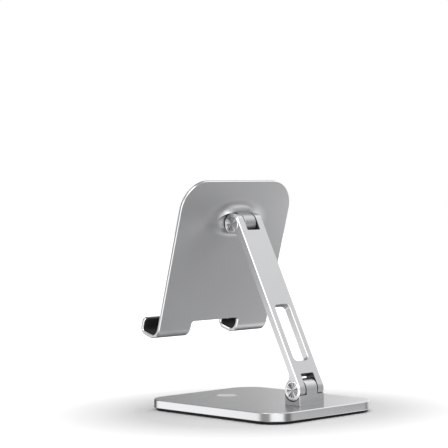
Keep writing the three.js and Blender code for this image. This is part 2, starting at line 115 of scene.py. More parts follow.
# Tray: its bent sheet, from the upper pin, and what is screwed or glued to it.
TRAY_REAR = -10.42 * MM
SHEET = 2.5 * MM
TRAY_FRONT = TRAY_REAR - SHEET
TRAY_TOP = 29.9 * MM
TRAY_CORNER = 22 * MM
TRAY_CHAMFER = 0.5 * MM
NOTCH_HALF = 23.5 * MM
NOTCH_TOP = -79.5 * MM
BEND_START = -84.3 * MM
BEND_RADIUS = 9 * MM
HOOK_DEPTH = 21 * MM
LIP_BEND = 5 * MM
LIP_RISE = 7 * MM
TRAY_SCREW_X = 17 * MM
TRAY_SCREW_HEIGHTS = (-5 * MM, 5 * MM)
TRAY_SCREW_ROOM = 0.08 * MM
PAD_LOW = (-46 * MM, -70 * MM)
PAD_HIGH = (46 * MM, 22 * MM)
PAD_CORNER = 12 * MM
PAD_THICKNESS = 1.2 * MM
LINER_THICKNESS = 1.1 * MM
LINER_CORNER = 1.6 * MM
LINER_START = 0.55
GLUE = 0.02 * MM

# Boss behind the tray. Pairs of heights are (below the pin, above it).
BOSS_FOOT = TRAY_REAR + GLUE
BOSS_HEIGHT = 6.7 * MM
BOSS_CROWN_HALF = 13.1 * MM
BOSS_CROWN_HEIGHTS = (7.9 * MM, 9 * MM)
BOSS_FOOT_HALF = 33.9 * MM
BOSS_FOOT_HEIGHTS = (15 * MM, 17.5 * MM)
BOSS_SQUARENESS = 2.8


# ---- meshes ----
def finish_mesh(name, bm, materials, sharp=28):
    """Turns a bmesh into an object: outward normals, smooth faces, and edges sharp where they turn."""
    bmesh.ops.remove_doubles(bm, verts=bm.verts, dist=1e-7)
    bmesh.ops.recalc_face_normals(bm, faces=bm.faces)
    mesh = bpy.data.meshes.new(name)
    bm.to_mesh(mesh)
    bm.free()
    for material in materials:
        mesh.materials.append(material)
    for polygon in mesh.polygons:
        polygon.use_smooth = True
    mesh.set_sharp_from_angle(angle=math.radians(sharp))
    piece = bpy.data.objects.new(name, mesh)
    bpy.context.scene.collection.objects.link(piece)
    return piece


def loft(rings, slots=None, caps=(0, 0)):
    """A closed body through rings of equally many points. slots gives each band's material."""
    bm = bmesh.new()
    loops = [[bm.verts.new(point) for point in ring] for ring in rings]
    count = len(loops[0])
    for band, (low, high) in enumerate(zip(loops, loops[1:])):
        for i in range(count):
            j = (i + 1) % count
            face = bm.faces.new((low[i], low[j], high[j], high[i]))
            face.material_index = slots[band] if slots else 0
    for loop, slot in ((loops[0], caps[0]), (loops[-1], caps[1])):
        bm.faces.new(loop).material_index = slot
    return bm


def arc(centre, radius, start, end, steps):
    """Points (u, v) round a centre, from one angle in degrees to another."""
    angles = [math.radians(start + (end - start) * i / steps) for i in range(steps + 1)]
    return [(centre[0] + radius * math.cos(a), centre[1] + radius * math.sin(a)) for a in angles]


def circle(radius, count):
    """Points (u, v) spread evenly round the origin."""
    return arc((0, 0), radius, 0, 360 - 360 / count, count - 1)


def rounded_rectangle(low, high, radius, steps=16):
    """A rectangle between two corner points, with round corners, counter-clockwise."""
    (x0, y0), (x1, y1) = low, high
    return (arc((x1 - radius, y0 + radius), radius, -90, 0, steps)
            + arc((x1 - radius, y1 - radius), radius, 0, 90, steps)
            + arc((x0 + radius, y1 - radius), radius, 90, 180, steps)
            + arc((x0 + radius, y0 + radius), radius, 180, 270, steps))


def without_repeats(points):
    """Drops a point that repeats the one before it."""
    kept = []
    for point in points:
        if not kept or math.dist(point, kept[-1]) > 1e-7:
            kept.append(point)
    if math.dist(kept[0], kept[-1]) < 1e-7:
        kept.pop()
    return kept


def inset(points, distance):
    """Moves a counter-clockwise outline inwards by a distance, mitred at its corners."""
    moved = []
    count = len(points)
    for i, point in enumerate(points):
        before = Vector(points[i - 1])
        here = Vector(point)
        after = Vector(points[(i + 1) % count])
        first = (here - before).normalized()
        second = (after - here).normalized()
        normal = Vector((-first.y, first.x)) + Vector((-second.y, second.x))
        normal.normalize()
        reach = distance / max(0.3, normal.dot(Vector((-first.y, first.x))))
        moved.append(tuple(here + normal * reach))
    return moved


def rings_round(x, y, levels, count):
    """Rings for loft round an upright axis: levels is a list of (z, radius)."""
    return [[(x + u, y + v, z) for u, v in circle(radius, count)] for z, radius in levels]


def rings_on_z(outline, levels):
    """Rings for loft: levels is a list of (z, inset)."""
    return [[(x, y, z) for x, y in inset(outline, depth)] for z, depth in levels]


def rings_on_x(section, levels):
    """Rings for loft of a (y, z) section: levels is a list of (x, inset)."""
    return [[(x, y, z) for y, z in inset(section, depth)] for x, depth in levels]


def rings_on_y(outline, levels):
    """Rings for loft of an (x, z) outline: levels is a list of (y, inset)."""
    return [[(x, y, z) for x, z in inset(outline, depth)] for y, depth in levels]


def turned(profile, steps=72):
    """A body turned on the X axis. The profile is a list of (x, radius, material) from end to end."""
    rings = []
    for x, radius, _ in profile:
        rings.append([(x, y, z) for y, z in circle(radius, steps)])
    slots = [slot for _, _, slot in profile[1:]]
    return loft(rings, slots, (profile[0][2], profile[-1][2]))


def ring_body(profile, steps=72):
    """A ring turned on the X axis from a closed (x, radius) profile."""
    bm = bmesh.new()
    loops = []
    for i in range(steps):
        angle = 2 * math.pi * i / steps
        loops.append([bm.verts.new((x, r * math.cos(angle), r * math.sin(angle))) for x, r in profile])
    count = len(profile)
    for i in range(steps):
        here, there = loops[i], loops[(i + 1) % steps]
        for k in range(count):
            m = (k + 1) % count
            bm.faces.new((here[k], here[m], there[m], there[k]))
    return bm


def cylinder(radius, x0, x1, steps):
    """A cylinder on the X axis."""
    return turned([(x0, radius, 0), (x1, radius, 0)], steps)


def combine(piece, bm, operation="DIFFERENCE"):
    """Cuts a body out of a piece, or joins it on, and keeps the material of every face."""
    cutter = finish_mesh("cutter", bm, list(piece.data.materials))
    boolean = piece.modifiers.new("cut", "BOOLEAN")
    boolean.operation = operation
    boolean.solver = "EXACT"
    boolean.object = cutter
    bake_modifiers(piece)
    cutter_mesh = cutter.data
    bpy.data.objects.remove(cutter)
    bpy.data.meshes.remove(cutter_mesh)


def bake_modifiers(piece, sharp=28):
    """Replaces the piece's mesh by what its modifiers make of it."""
    graph = bpy.context.evaluated_depsgraph_get()
    made = bpy.data.meshes.new_from_object(piece.evaluated_get(graph))
    old = piece.data
    piece.modifiers.clear()
    piece.data = made
    bpy.data.meshes.remove(old)
    made.name = piece.name
    if sharp:
        made.set_sharp_from_angle(angle=math.radians(sharp))


def weigh_normals(piece):
    """Lets the large flat faces keep their own normal where they meet a small bevel."""
    weigh = piece.modifiers.new("weigh", "WEIGHTED_NORMAL")
    weigh.keep_sharp = True
    weigh.weight = 100
    bake_modifiers(piece, sharp=None)


def soften(piece, width, angle=35):
    """A small round bevel on every edge that turns more than an angle."""
    bevel = piece.modifiers.new("soften", "BEVEL")
    bevel.width = width
    bevel.segments = 2
    bevel.limit_method = "ANGLE"
    bevel.angle_limit = math.radians(angle)
    bevel.use_clamp_overlap = True
    bake_modifiers(piece)


def cut_levels(bm, heights):
    """Cuts every face of a mesh at some heights, so that it can bend there."""
    for height in heights:
        everything = bm.verts[:] + bm.edges[:] + bm.faces[:]
        bmesh.ops.bisect_plane(
            bm, geom=everything, plane_co=(0, 0, height), plane_no=(0, 0, 1), dist=1e-8)


def settle(piece, body, slot, *nodes, origin=None, turn=0.0):
    """Puts a piece at its pin, turned about X, weighs its normals, parents it to the body it rides on and
    hides the CAD parts it stands for.
    """
    if origin is not None:
        piece.data.transform(Matrix.Translation(origin) @ Matrix.Rotation(turn, 4, "X"))
    weigh_normals(piece)
    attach(piece, body)
    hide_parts(*nodes)


# ---- materials ----
class Shader:
    """A material with one Principled shader and short calls for the nodes that feed it."""

    def __init__(self, name, color, metallic, roughness):
        self.material = bpy.data.materials.new(name)
        self.material.use_nodes = True
        self.tree = self.material.node_tree
        self.shader = self.tree.nodes["Principled BSDF"]
        self.set("Base Color", (*color, 1))
        self.set("Metallic", metallic)
        self.set("Roughness", roughness)
        self.coordinates = self.node("ShaderNodeTexCoord").outputs["Object"]

    def set(self, socket, value):
        """Sets a constant on the Principled shader."""
        self.shader.inputs[socket].default_value = value

    def node(self, kind, **values):
        """Adds a node and sets its properties."""
        node = self.tree.nodes.new(kind)
        for key, value in values.items():
            setattr(node, key, value)
        return node

    def link(self, output, target):
        """Connects two sockets."""
        self.tree.links.new(output, target)

    def noise(self, scale, detail=2.0, stretch=(1, 1, 1)):
        """Noise in the object's own space. scale is in features per metre."""
        mapping = self.node("ShaderNodeMapping")
        mapping.inputs["Scale"].default_value = stretch
        self.link(self.coordinates, mapping.inputs["Vector"])
        noise = self.node("ShaderNodeTexNoise")
        noise.inputs["Scale"].default_value = scale
        noise.inputs["Detail"].default_value = detail
        self.link(mapping.outputs["Vector"], noise.inputs["Vector"])
        return noise.outputs["Fac"]

    def spread(self, value, low, high):
        """Maps a noise of about 0.3 to 0.7 onto a range."""
        span = self.node("ShaderNodeMapRange")
        span.inputs["From Min"].default_value = 0.3
        span.inputs["From Max"].default_value = 0.7
        span.inputs["To Min"].default_value = low
        span.inputs["To Max"].default_value = high
        self.link(value, span.inputs["Value"])
        return span.outputs["Result"]

    def vary_color(self, value, dark, light):
        """Mixes the base colour between two colours by a value from 0 to 1."""
        mix = self.node("ShaderNodeMix", data_type="RGBA")
        mix.inputs["A"].default_value = (*dark, 1)
        mix.inputs["B"].default_value = (*light, 1)
        self.link(value, mix.inputs["Factor"])
        self.link(mix.outputs["Result"], self.shader.inputs["Base Color"])

    def vary_roughness(self, value, low, high):
        """Spreads the roughness between two values by a noise."""
        self.link(self.spread(value, low, high), self.shader.inputs["Roughness"])

    def bump(self, value, height, strength=1.0):
        """Raises the surface by a height in metres."""
        bump = self.node("ShaderNodeBump")
        bump.inputs["Strength"].default_value = strength
        bump.inputs["Distance"].default_value = height
        self.link(value, bump.inputs["Height"])
        self.link(bump.outputs["Normal"], self.shader.inputs["Normal"])


def satin_aluminium(name, tone, roughness=0.36):
    """Bead-blasted and anodised: a fine even grain and a very slight cloudiness."""
    shader = Shader(name, (tone, tone * 1.008, tone * 1.02), 1.0, roughness)
    cloud = shader.noise(28, 3)
    grain = shader.noise(5200, 2)
    dark = (tone * 0.97, tone * 0.978, tone * 0.99)
    light = (tone * 1.03, tone * 1.038, tone * 1.05)
    shader.vary_color(cloud, dark, light)
    shader.vary_roughness(grain, roughness - 0.05, roughness + 0.06)
    shader.bump(grain, 0.006 * MM, 0.35)
    return shader.material


def bright_aluminium():
    """The diamond-cut chamfers: nearly polished, with faint tool lines along X."""
    shader = Shader("bright_cut_aluminium", (0.88, 0.885, 0.89), 1.0, 0.16)
    lines = shader.noise(900, 2, stretch=(0.15, 1, 1))
    shader.vary_roughness(lines, 0.12, 0.24)
    shader.bump(lines, 0.004 * MM, 0.2)
    return shader.material


def spun_aluminium(name, pin, dark, light):
    """A disc turned on a pin, with anisotropic reflection round the pin and light and dark spokes of
    painted reflection in its base colour.
    """
    shader = Shader(name, (0.8, 0.805, 0.81), 1.0, 0.24)
    from_pin = shader.node("ShaderNodeVectorMath", operation="SUBTRACT")
    shader.link(shader.coordinates, from_pin.inputs[0])
    from_pin.inputs[1].default_value = pin
    across = shader.node("ShaderNodeVectorMath", operation="MULTIPLY")
    shader.link(from_pin.outputs["Vector"], across.inputs[0])
    across.inputs[1].default_value = (0, 1, 1)
    outward = shader.node("ShaderNodeVectorMath", operation="NORMALIZE")
    shader.link(across.outputs["Vector"], outward.inputs[0])
    # Painted reflection: a noise round the pin mixes the base colour between a painted shade and a
    # painted highlight, in spokes.
    spokes = shader.node("ShaderNodeTexNoise")
    spokes.inputs["Scale"].default_value = 3.1
    spokes.inputs["Detail"].default_value = 3
    shader.link(outward.outputs["Vector"], spokes.inputs["Vector"])
    painted_spoke_reflection = shader.node("ShaderNodeMapRange")
    painted_spoke_reflection.inputs["From Min"].default_value = 0.44
    painted_spoke_reflection.inputs["From Max"].default_value = 0.60
    shader.link(spokes.outputs["Fac"], painted_spoke_reflection.inputs["Value"])
    shader.vary_color(painted_spoke_reflection.outputs["Result"], (dark,) * 3, (light,) * 3)
    around = shader.node("ShaderNodeVectorMath", operation="CROSS_PRODUCT")
    around.inputs[0].default_value = (1, 0, 0)
    shader.link(outward.outputs["Vector"], around.inputs[1])
    tangent = shader.node("ShaderNodeVectorTransform", vector_type="VECTOR")
    tangent.convert_from = "OBJECT"
    tangent.convert_to = "WORLD"
    shader.link(around.outputs["Vector"], tangent.inputs["Vector"])
    shader.link(tangent.outputs["Vector"], shader.shader.inputs["Tangent"])
    shader.set("Anisotropic", 0.6)
    shader.vary_roughness(shader.noise(700, 2), 0.22, 0.32)
    return shader.material


def black_rubber():
    """Moulded rubber with a fine grain and a little dust in it."""
    shader = Shader("black_rubber", (0.009, 0.009, 0.010), 0.0, 0.8)
    shader.set("Specular IOR Level", 0.3)
    grain = shader.noise(2600, 3)
    shader.vary_color(shader.noise(90, 4), (0.007, 0.007, 0.008), (0.014, 0.014, 0.015))
    shader.vary_roughness(grain, 0.70, 0.90)
    shader.bump(grain, 0.03 * MM, 0.5)
    return shader.material


def zinc_steel():
    """Zinc-plated steel, slightly blotchy."""
    shader = Shader("zinc_steel", (0.5, 0.51, 0.52), 1.0, 0.34)
    blotch = shader.noise(220, 4)
    shader.vary_color(blotch, (0.44, 0.45, 0.46), (0.56, 0.57, 0.58))
    shader.vary_roughness(blotch, 0.26, 0.44)
    shader.bump(shader.noise(1800, 2), 0.005 * MM, 0.3)
    return shader.material


def moulded_nylon():
    """Black nylon with a fine moulded grain."""
    shader = Shader("moulded_nylon", (0.012, 0.012, 0.013), 0.0, 0.6)
    grain = shader.noise(1500, 2)
    shader.vary_color(grain, (0.010, 0.010, 0.011), (0.015, 0.015, 0.016))
    shader.vary_roughness(grain, 0.52, 0.7)
    shader.bump(grain, 0.01 * MM, 0.3)
    return shader.material


SATIN = satin_aluminium("satin_aluminium", 0.62)
TRAY_SATIN = satin_aluminium("satin_aluminium_tray", 0.56, 0.40)
PLATE_SATIN = satin_aluminium("satin_aluminium_plate", 0.62, 0.26)
BADGE_SATIN = satin_aluminium("satin_aluminium_badge", 0.92, 0.55)
# Painted shade: the block's two sides take a darker copy of the satin.
BLOCK_SIDE_PAINTED_SHADE = satin_aluminium("satin_aluminium_block_painted_shade", 0.34)
# Painted shade: a dark tone for the hollows and ear windows beside the knuckles.
PAINTED_SHADE_ALUMINIUM = satin_aluminium("aluminium_painted_recess_shade", 0.16, 0.5)
BRIGHT = bright_aluminium()
# The caps' spokes are painted reflections, and the lower caps' are painted darker than the upper caps' as
# painted shade.
SPUN_PAINTED_SPOKES = {
    "lower": spun_aluminium("spun_aluminium_lower_painted_spokes", LOWER_PIN, 0.08, 0.70),
    "upper": spun_aluminium("spun_aluminium_upper_painted_spokes", UPPER_PIN, 0.34, 0.99),
}
RUBBER = black_rubber()
STEEL = zinc_steel()
NYLON = moulded_nylon()
# The metals of a piece, by the slots that loft and turned give: 0 for its faces, 1 for its bright
# edges and 2 for its hollows, in painted shade. The block has no bright edge, and its slot 3 is for its
# two sides, in painted shade.
ARM_METALS = [SATIN, BRIGHT, PAINTED_SHADE_ALUMINIUM]
BLOCK_METALS = [SATIN, BRIGHT, PAINTED_SHADE_ALUMINIUM, BLOCK_SIDE_PAINTED_SHADE]
TRAY_METALS = [TRAY_SATIN, BRIGHT]
PLATE_METALS = [PLATE_SATIN, BRIGHT]
BADGE_METALS = [BADGE_SATIN, BRIGHT]


# ---- camera, floor and light ----
CAMERA_PLACE = Vector((0.8000, 0.8472, 0.1521))
CAMERA_AZIMUTH = math.radians(137.85)
CAMERA_ELEVATION = math.radians(0.70)
CAMERA_ROLL = math.radians(1.06)
CAMERA_LENS = 127.05

FLOOR_TONE = 0.45
# Painted light: the floor glows more with distance from the stand, from the start to the end distance.
FLOOR_GLOW = 0.80
FLOOR_GLOW_START = 0.09
FLOOR_GLOW_END = 0.25

# Brightness of the studio by angle round the horizon, from +X towards +Y, and by angle upwards.
AROUND = [(-180, 1.0), (-150, 0.30), (-125, 0.10), (-86, 0.10), (-66, 1.40), (-28, 1.40),
          (-20, 0.48), (20, 0.48), (29, 1.7), (80, 1.7), (88, 0.32), (122, 0.32), (131, 0.74),
          (152, 0.80), (165, 1.1), (180, 1.0)]
UPWARD = [(-90, 1.0), (-72, 0.85), (-56, 0.25), (-42, 0.40), (-27, 0.72), (-10, 0.92),
          (0, 0.95), (5, 0.55), (12, 0.5), (21, 0.97), (34, 1.44), (60, 1.44), (90, 1.3)]
BRIGHTEST = 2.0
# Ramps hold brightness divided by BRIGHTEST, and two of them are multiplied.
RAMPS_STRENGTH = BRIGHTEST ** 2


def make_camera():
    """A long lens behind the stand, a little above the floor and slightly rolled."""
    level = math.cos(CAMERA_ELEVATION)
    back = Vector((
        math.sin(CAMERA_AZIMUTH) * level, -math.cos(CAMERA_AZIMUTH) * level, math.sin(CAMERA_ELEVATION)))
    right = Vector((math.cos(CAMERA_AZIMUTH), math.sin(CAMERA_AZIMUTH), 0))
    up = back.cross(right)
    rolled_right = right * math.cos(CAMERA_ROLL) - up * math.sin(CAMERA_ROLL)
    rolled_up = right * math.sin(CAMERA_ROLL) + up * math.cos(CAMERA_ROLL)
    data = bpy.data.cameras.new("camera")
    data.lens = CAMERA_LENS
    data.sensor_width = 36
    data.clip_start = 0.01
    data.clip_end = 50
    camera = bpy.data.objects.new("camera", data)
    axes = Matrix((rolled_right, rolled_up, back)).transposed()
    camera.matrix_world = Matrix.Translation(CAMERA_PLACE) @ axes.to_4x4()
    bpy.context.scene.collection.objects.link(camera)
    bpy.context.scene.camera = camera


def softbox(name, angle, height, distance, width, tall, power):
    """An area light at an angle round Z from +X, aimed at the middle of the stand.

    Reflections don't see it: they see the world and the cards.
    """
    aim = Vector((0, 0, 0.08))
    around = math.radians(angle)
    place = Vector((math.cos(around) * distance, math.sin(around) * distance, height))
    data = bpy.data.lights.new(name, "AREA")
    data.shape = "RECTANGLE"
    data.size = width
    data.size_y = tall
    data.energy = power
    light = bpy.data.objects.new(name, data)
    light.location = place
    light.rotation_mode = "QUATERNION"
    light.rotation_quaternion = (aim - place).to_track_quat("-Z", "Y")
    light.visible_glossy = False
    bpy.context.scene.collection.objects.link(light)


def make_floor():
    """A wide pale floor with a painted glow that grows away from the stand, so that the far floor turns
    white. Its edge is far outside every view.
    """
    half = 8
    bm = loft([
        [(-half, -half, -0.01), (half, -half, -0.01), (half, half, -0.01), (-half, half, -0.01)],
        [(-half, -half, 0), (half, -half, 0), (half, half, 0), (-half, half, 0)],
    ])
    shader = Shader("pale_floor", (FLOOR_TONE,) * 3, 0.0, 0.9)
    shader.vary_color(shader.noise(3, 2), (FLOOR_TONE - 0.003,) * 3, (FLOOR_TONE + 0.003,) * 3)
    reach = shader.node("ShaderNodeVectorMath", operation="LENGTH")
    shader.link(shader.coordinates, reach.inputs[0])
    glow = shader.node("ShaderNodeMapRange")
    glow.inputs["From Min"].default_value = FLOOR_GLOW_START
    glow.inputs["From Max"].default_value = FLOOR_GLOW_END
    glow.inputs["To Max"].default_value = FLOOR_GLOW
    shader.link(reach.outputs["Value"], glow.inputs["Value"])
    shader.set("Emission Color", (1, 1, 1, 1))
    shader.link(glow.outputs["Result"], shader.shader.inputs["Emission Strength"])
    floor = finish_mesh("floor", bm, [shader.material])
    floor.visible_glossy = False


def make_backdrop():
    """A white dome that only the camera sees, so that the world can light the metal unevenly."""
    bm = bmesh.new()
    bmesh.ops.create_icosphere(bm, subdivisions=3, radius=7)
    material = bpy.data.materials.new("white_backdrop")
    material.use_nodes = True
    nodes = material.node_tree.nodes
    nodes.clear()
    emission = nodes.new("ShaderNodeEmission")
    emission.inputs["Color"].default_value = (1, 1, 1, 1)
    output = nodes.new("ShaderNodeOutputMaterial")
    material.node_tree.links.new(emission.outputs["Emission"], output.inputs["Surface"])
    dome = finish_mesh("backdrop", bm, [material])
    dome.visible_glossy = False
    dome.visible_diffuse = False
    dome.visible_shadow = False
    dome.visible_transmission = False


def card_glow(name, across_stops, upward_stops):
    """A graded light: the product of a ramp across the card and a ramp up it."""
    material = bpy.data.materials.new(name)
    material.use_nodes = True
    tree = material.node_tree
    tree.nodes.clear()
    place = tree.nodes.new("ShaderNodeSeparateXYZ")
    tree.links.new(tree.nodes.new("ShaderNodeTexCoord").outputs["UV"], place.inputs["Vector"])
    ramps = []
    for axis, stops in (("X", across_stops), ("Y", upward_stops)):
        ramp = tree.nodes.new("ShaderNodeValToRGB")
        set_stops(ramp.color_ramp, stops)
        tree.links.new(place.outputs[axis], ramp.inputs["Fac"])
        ramps.append(ramp.outputs["Color"])
    emission = tree.nodes.new("ShaderNodeEmission")
    emission.inputs["Strength"].default_value = RAMPS_STRENGTH
    tree.links.new(multiplied(tree, *ramps), emission.inputs["Color"])
    output = tree.nodes.new("ShaderNodeOutputMaterial")
    tree.links.new(emission.outputs["Emission"], output.inputs["Surface"])
    return material


def make_card(name, angle, distance, width, low, high, across_stops, upward_stops):
    """A graded card at an angle round Z from +X, which only reflections see.

    Each list of stops holds (place from 0 to 1, brightness): across goes from the card's left to
    its right as the stand sees it, upward from its foot to its top.
    """
    around = math.radians(angle)
    outward = Vector((math.cos(around), math.sin(around), 0))
    across = Vector((-outward.y, outward.x, 0)) * width / 2
    middle = outward * distance
    right, left = middle - across, middle + across
    corners = [
        (right.x, right.y, low), (left.x, left.y, low), (left.x, left.y, high), (right.x, right.y, high)]
    bm = bmesh.new()
    face = bm.faces.new([bm.verts.new(corner) for corner in corners])
    layer = bm.loops.layers.uv.new("UVMap")
    for loop, place in zip(face.loops, ((1, 0), (0, 0), (0, 1), (1, 1))):
        loop[layer].uv = place
    mesh = bpy.data.meshes.new(name)
    bm.to_mesh(mesh)
    bm.free()
    mesh.materials.append(card_glow(name, across_stops, upward_stops))
    card = bpy.data.objects.new(name, mesh)
    bpy.context.scene.collection.objects.link(card)
    card.visible_camera = False
    card.visible_diffuse = False
    card.visible_shadow = False


def multiplied(tree, first, second):
    """The product of two colours."""
    product = tree.nodes.new("ShaderNodeMix")
    product.data_type = "RGBA"
    product.blend_type = "MULTIPLY"
    product.inputs["Factor"].default_value = 1.0
    tree.links.new(first, product.inputs["A"])
    tree.links.new(second, product.inputs["B"])
    return product.outputs["Result"]


def set_stops(color_ramp, stops):
    """Fills a ramp from (place, brightness) pairs. The brightest it can hold is BRIGHTEST."""
    elements = color_ramp.elements
    while len(elements) > 1:
        elements.remove(elements[-1])
    for i, (place, brightness) in enumerate(stops):
        element = elements[0] if i == 0 else elements.new(place)
        element.position = place
        element.color = (brightness / BRIGHTEST,) * 3 + (1,)


def ramp_of(tree, value, stops, low, high):
    """A ramp of an angle in radians through (angle in degrees, brightness) stops."""
    span = tree.nodes.new("ShaderNodeMapRange")
    span.inputs["From Min"].default_value = math.radians(low)
    span.inputs["From Max"].default_value = math.radians(high)
    tree.links.new(value, span.inputs["Value"])
    ramp = tree.nodes.new("ShaderNodeValToRGB")
    ramp.color_ramp.interpolation = "EASE"
    set_stops(ramp.color_ramp, [((stop - low) / (high - low), brightness) for stop, brightness in stops])
    tree.links.new(span.outputs["Result"], ramp.inputs["Fac"])
    return ramp.outputs["Color"]


def make_world():
    """A soft studio: brighter and darker fields round the horizon, brighter above."""
    world = bpy.data.worlds.new("studio")
    bpy.context.scene.world = world
    world.use_nodes = True
    tree = world.node_tree
    background = tree.nodes["Background"]
    direction = tree.nodes.new("ShaderNodeTexCoord").outputs["Generated"]
    parts = tree.nodes.new("ShaderNodeSeparateXYZ")
    tree.links.new(direction, parts.inputs["Vector"])
    around = tree.nodes.new("ShaderNodeMath")
    around.operation = "ARCTAN2"
    tree.links.new(parts.outputs["Y"], around.inputs[0])
    tree.links.new(parts.outputs["X"], around.inputs[1])
    upward = tree.nodes.new("ShaderNodeMath")
    upward.operation = "ARCSINE"
    tree.links.new(parts.outputs["Z"], upward.inputs[0])
    round_horizon = ramp_of(tree, around.outputs[0], AROUND, -180, 180)
    by_height = ramp_of(tree, upward.outputs[0], UPWARD, -90, 90)
    tree.links.new(multiplied(tree, round_horizon, by_height), background.inputs["Color"])
    background.inputs["Strength"].default_value = RAMPS_STRENGTH


def make_light():
    """The cards that stand in for the studio's bright and dark fields, and two soft lights."""
    make_card(
        "front_card", angle=-133, distance=0.45, width=1.3, low=0.0, high=0.7,
        across_stops=[(0.30, 0.15), (0.5, 0.55), (0.62, 1.10)],
        upward_stops=[(0.0, 1.0)])
    make_card(
        "side_card", angle=-47, distance=0.26, width=0.17, low=-0.15, high=0.55,
        across_stops=[(0.0, 1.0)],
        upward_stops=[(0.0, 1.45), (0.25, 1.42), (0.35, 0.52), (1.0, 0.42)])
    make_card(
        "rear_card", angle=140, distance=0.26, width=0.8, low=-0.35, high=0.10,
        across_stops=[
            (0.0, 1.3), (0.30, 1.3), (0.37, 0.80), (0.42, 0.44), (0.46, 0.34), (0.50, 0.31),
            (0.55, 0.30), (0.59, 0.40), (0.64, 0.42), (0.70, 0.24), (1.0, 0.24)],
        upward_stops=[(0.5, 1.15), (0.62, 1.0), (0.71, 0.80), (0.75, 0.88), (0.86, 1.85)])
    make_card(
        "low_card", angle=120, distance=0.20, width=0.15, low=-0.045, high=-0.008,
        across_stops=[(0.0, 0.82)],
        upward_stops=[(0.0, 1.0)])
    softbox("overhead", angle=80, height=1.5, distance=0.25, width=1.6, tall=1.6, power=16)
    softbox("right_key", angle=150, height=0.7, distance=1.5, width=0.9, tall=0.9, power=6)


# ---- base ----
def base_outline():
    """The plate's outline: a rectangle with round corners."""
    return without_repeats(rounded_rectangle(
        (PLATE_LOW.x, PLATE_LOW.y), (PLATE_HIGH.x, PLATE_HIGH.y), BASE_CORNER, 32))


def block_screw_hole(place, depth):
    """A countersunk hole that opens downwards, as a cutter."""
    x, y, z = place
    return loft(rings_round(x, y, [
        (z - MM, BLOCK_SCREW_HEAD), (z + 0.4 * MM, BLOCK_SCREW_HEAD),
        (z + 2.1 * MM, BLOCK_SCREW_SHANK), (z + depth, BLOCK_SCREW_SHANK)], 48))


def make_base_plate():
    """The thick plate, with a round pocket for the badge and two screw holes from below."""
    low, high = PLATE_LOW.z, PLATE_HIGH.z
    under = 0.4 * MM
    rings = rings_on_z(base_outline(), [
        (low, under), (low + under, 0), (high - BASE_CHAMFER, 0), (high, BASE_CHAMFER)])
    plate = finish_mesh("stand_base_plate", loft(rings), PLATE_METALS)
    middle = (BADGE_LOW + BADGE_HIGH) / 2
    radius = (BADGE_HIGH.x - BADGE_LOW.x) / 2
    flare = 0.08 * MM
    pocket = rings_round(middle.x, middle.y, [
        (BADGE_LOW.z, radius), (high - flare, radius), (high + flare, radius + 2 * flare)], 144)
    combine(plate, loft(pocket, [0, 1]))
    for side in (-1, 1):
        place = (side * BLOCK_SCREW_X, LOWER_PIN.y, low)
        combine(plate, block_screw_hole(place, depth=12 * MM))
    settle(plate, "base", "satin_aluminium", "base_plate")


def make_base_mat():
    """The rubber mat under the plate, rolled at its lower edge."""
    margin = PLATE_LOW.x - MAT_LOW.x
    outline = inset(base_outline(), -margin)
    roll = 0.45 * MM
    edge = 0.1 * MM
    rings = rings_on_z(outline, [
        (MAT_LOW.z, roll), (MAT_LOW.z + roll * 0.3, roll * 0.3), (MAT_LOW.z + roll, 0),
        (MAT_HIGH.z - edge, 0), (MAT_HIGH.z, edge)])
    mat = finish_mesh("stand_base_mat", loft(rings), [RUBBER])
    settle(mat, "base", "black_rubber", "base_mat")


def make_badge():
    """A plain turned disc with a bright edge, let into the plate."""
    middle = (BADGE_LOW + BADGE_HIGH) / 2
    radius = (BADGE_HIGH.x - BADGE_LOW.x) / 2 - BADGE_GAP
    edge = 0.12 * MM
    top = BADGE_HIGH.z - 0.02 * MM
    rings = rings_round(middle.x, middle.y, [
        (BADGE_LOW.z, radius), (BADGE_HIGH.z - edge, radius), (top, radius - edge)], 144)
    badge = finish_mesh("stand_base_badge", loft(rings, [1, 1]), BADGE_METALS)
    settle(badge, "base", "bright_aluminium", "base_badge")


def make_hinge_block():
    """The foot and the round knuckle, with a hollow for an ear at each side."""
    foot = PLATE_HIGH.z - LOWER_PIN.z
    section = without_repeats([(-BARREL, foot), (BARREL, foot)] + arc((0, 0), BARREL, 0, 180, 96))
    chamfer = 0.35 * MM
    rings = rings_on_x(section, [
        (-ARM_HALF, chamfer), (-ARM_HALF + chamfer, 0), (ARM_HALF - chamfer, 0), (ARM_HALF, chamfer)])
    # Its two ends take slot 3, a darker copy of the satin as painted shade.
    block = finish_mesh("stand_hinge_block", loft(rings, caps=(3, 3)), BLOCK_METALS)
    above = 3 * RECESS
    hollow = without_repeats(arc((0, 0), RECESS, 180, 360, 96) + [(RECESS, above), (-RECESS, above)])
    for side in (-1, 1):
        x0, x1 = sorted((side * KNUCKLE_HALF, side * (ARM_HALF + MM)))
        # The hollows take slot 2, whose dark tone is painted shade.
        combine(block, loft(rings_on_x(hollow, [(x0, 0), (x1, 0)]), [2], (2, 2)))
    combine(block, cylinder(PIN_BORE, -ARM_HALF - MM, ARM_HALF + MM, 64))
    for side in (-1, 1):
        place = (side * BLOCK_SCREW_X, 0, PLATE_LOW.z - LOWER_PIN.z)
        combine(block, block_screw_hole(place, depth=9.3 * MM))
    soften(block, width=0.22 * MM)
    settle(block, "base", "satin_aluminium", "hinge_block", origin=LOWER_PIN)


def block_screw_levels():
    """(height above the head's face, radius) in mm of a countersunk screw with a ridged thread."""
    head, crest, groove = 3.6, 2.0, 1.72
    pitch = 0.7
    levels = [(0, head), (0.4, head), (1.8, crest)]
    height = 2.4
    while height + pitch < 8.9:
        levels += [(height, crest), (height + pitch / 2, groove)]
        height += pitch
    return levels + [(8.7, 1.9), (9.0, 1.6)]


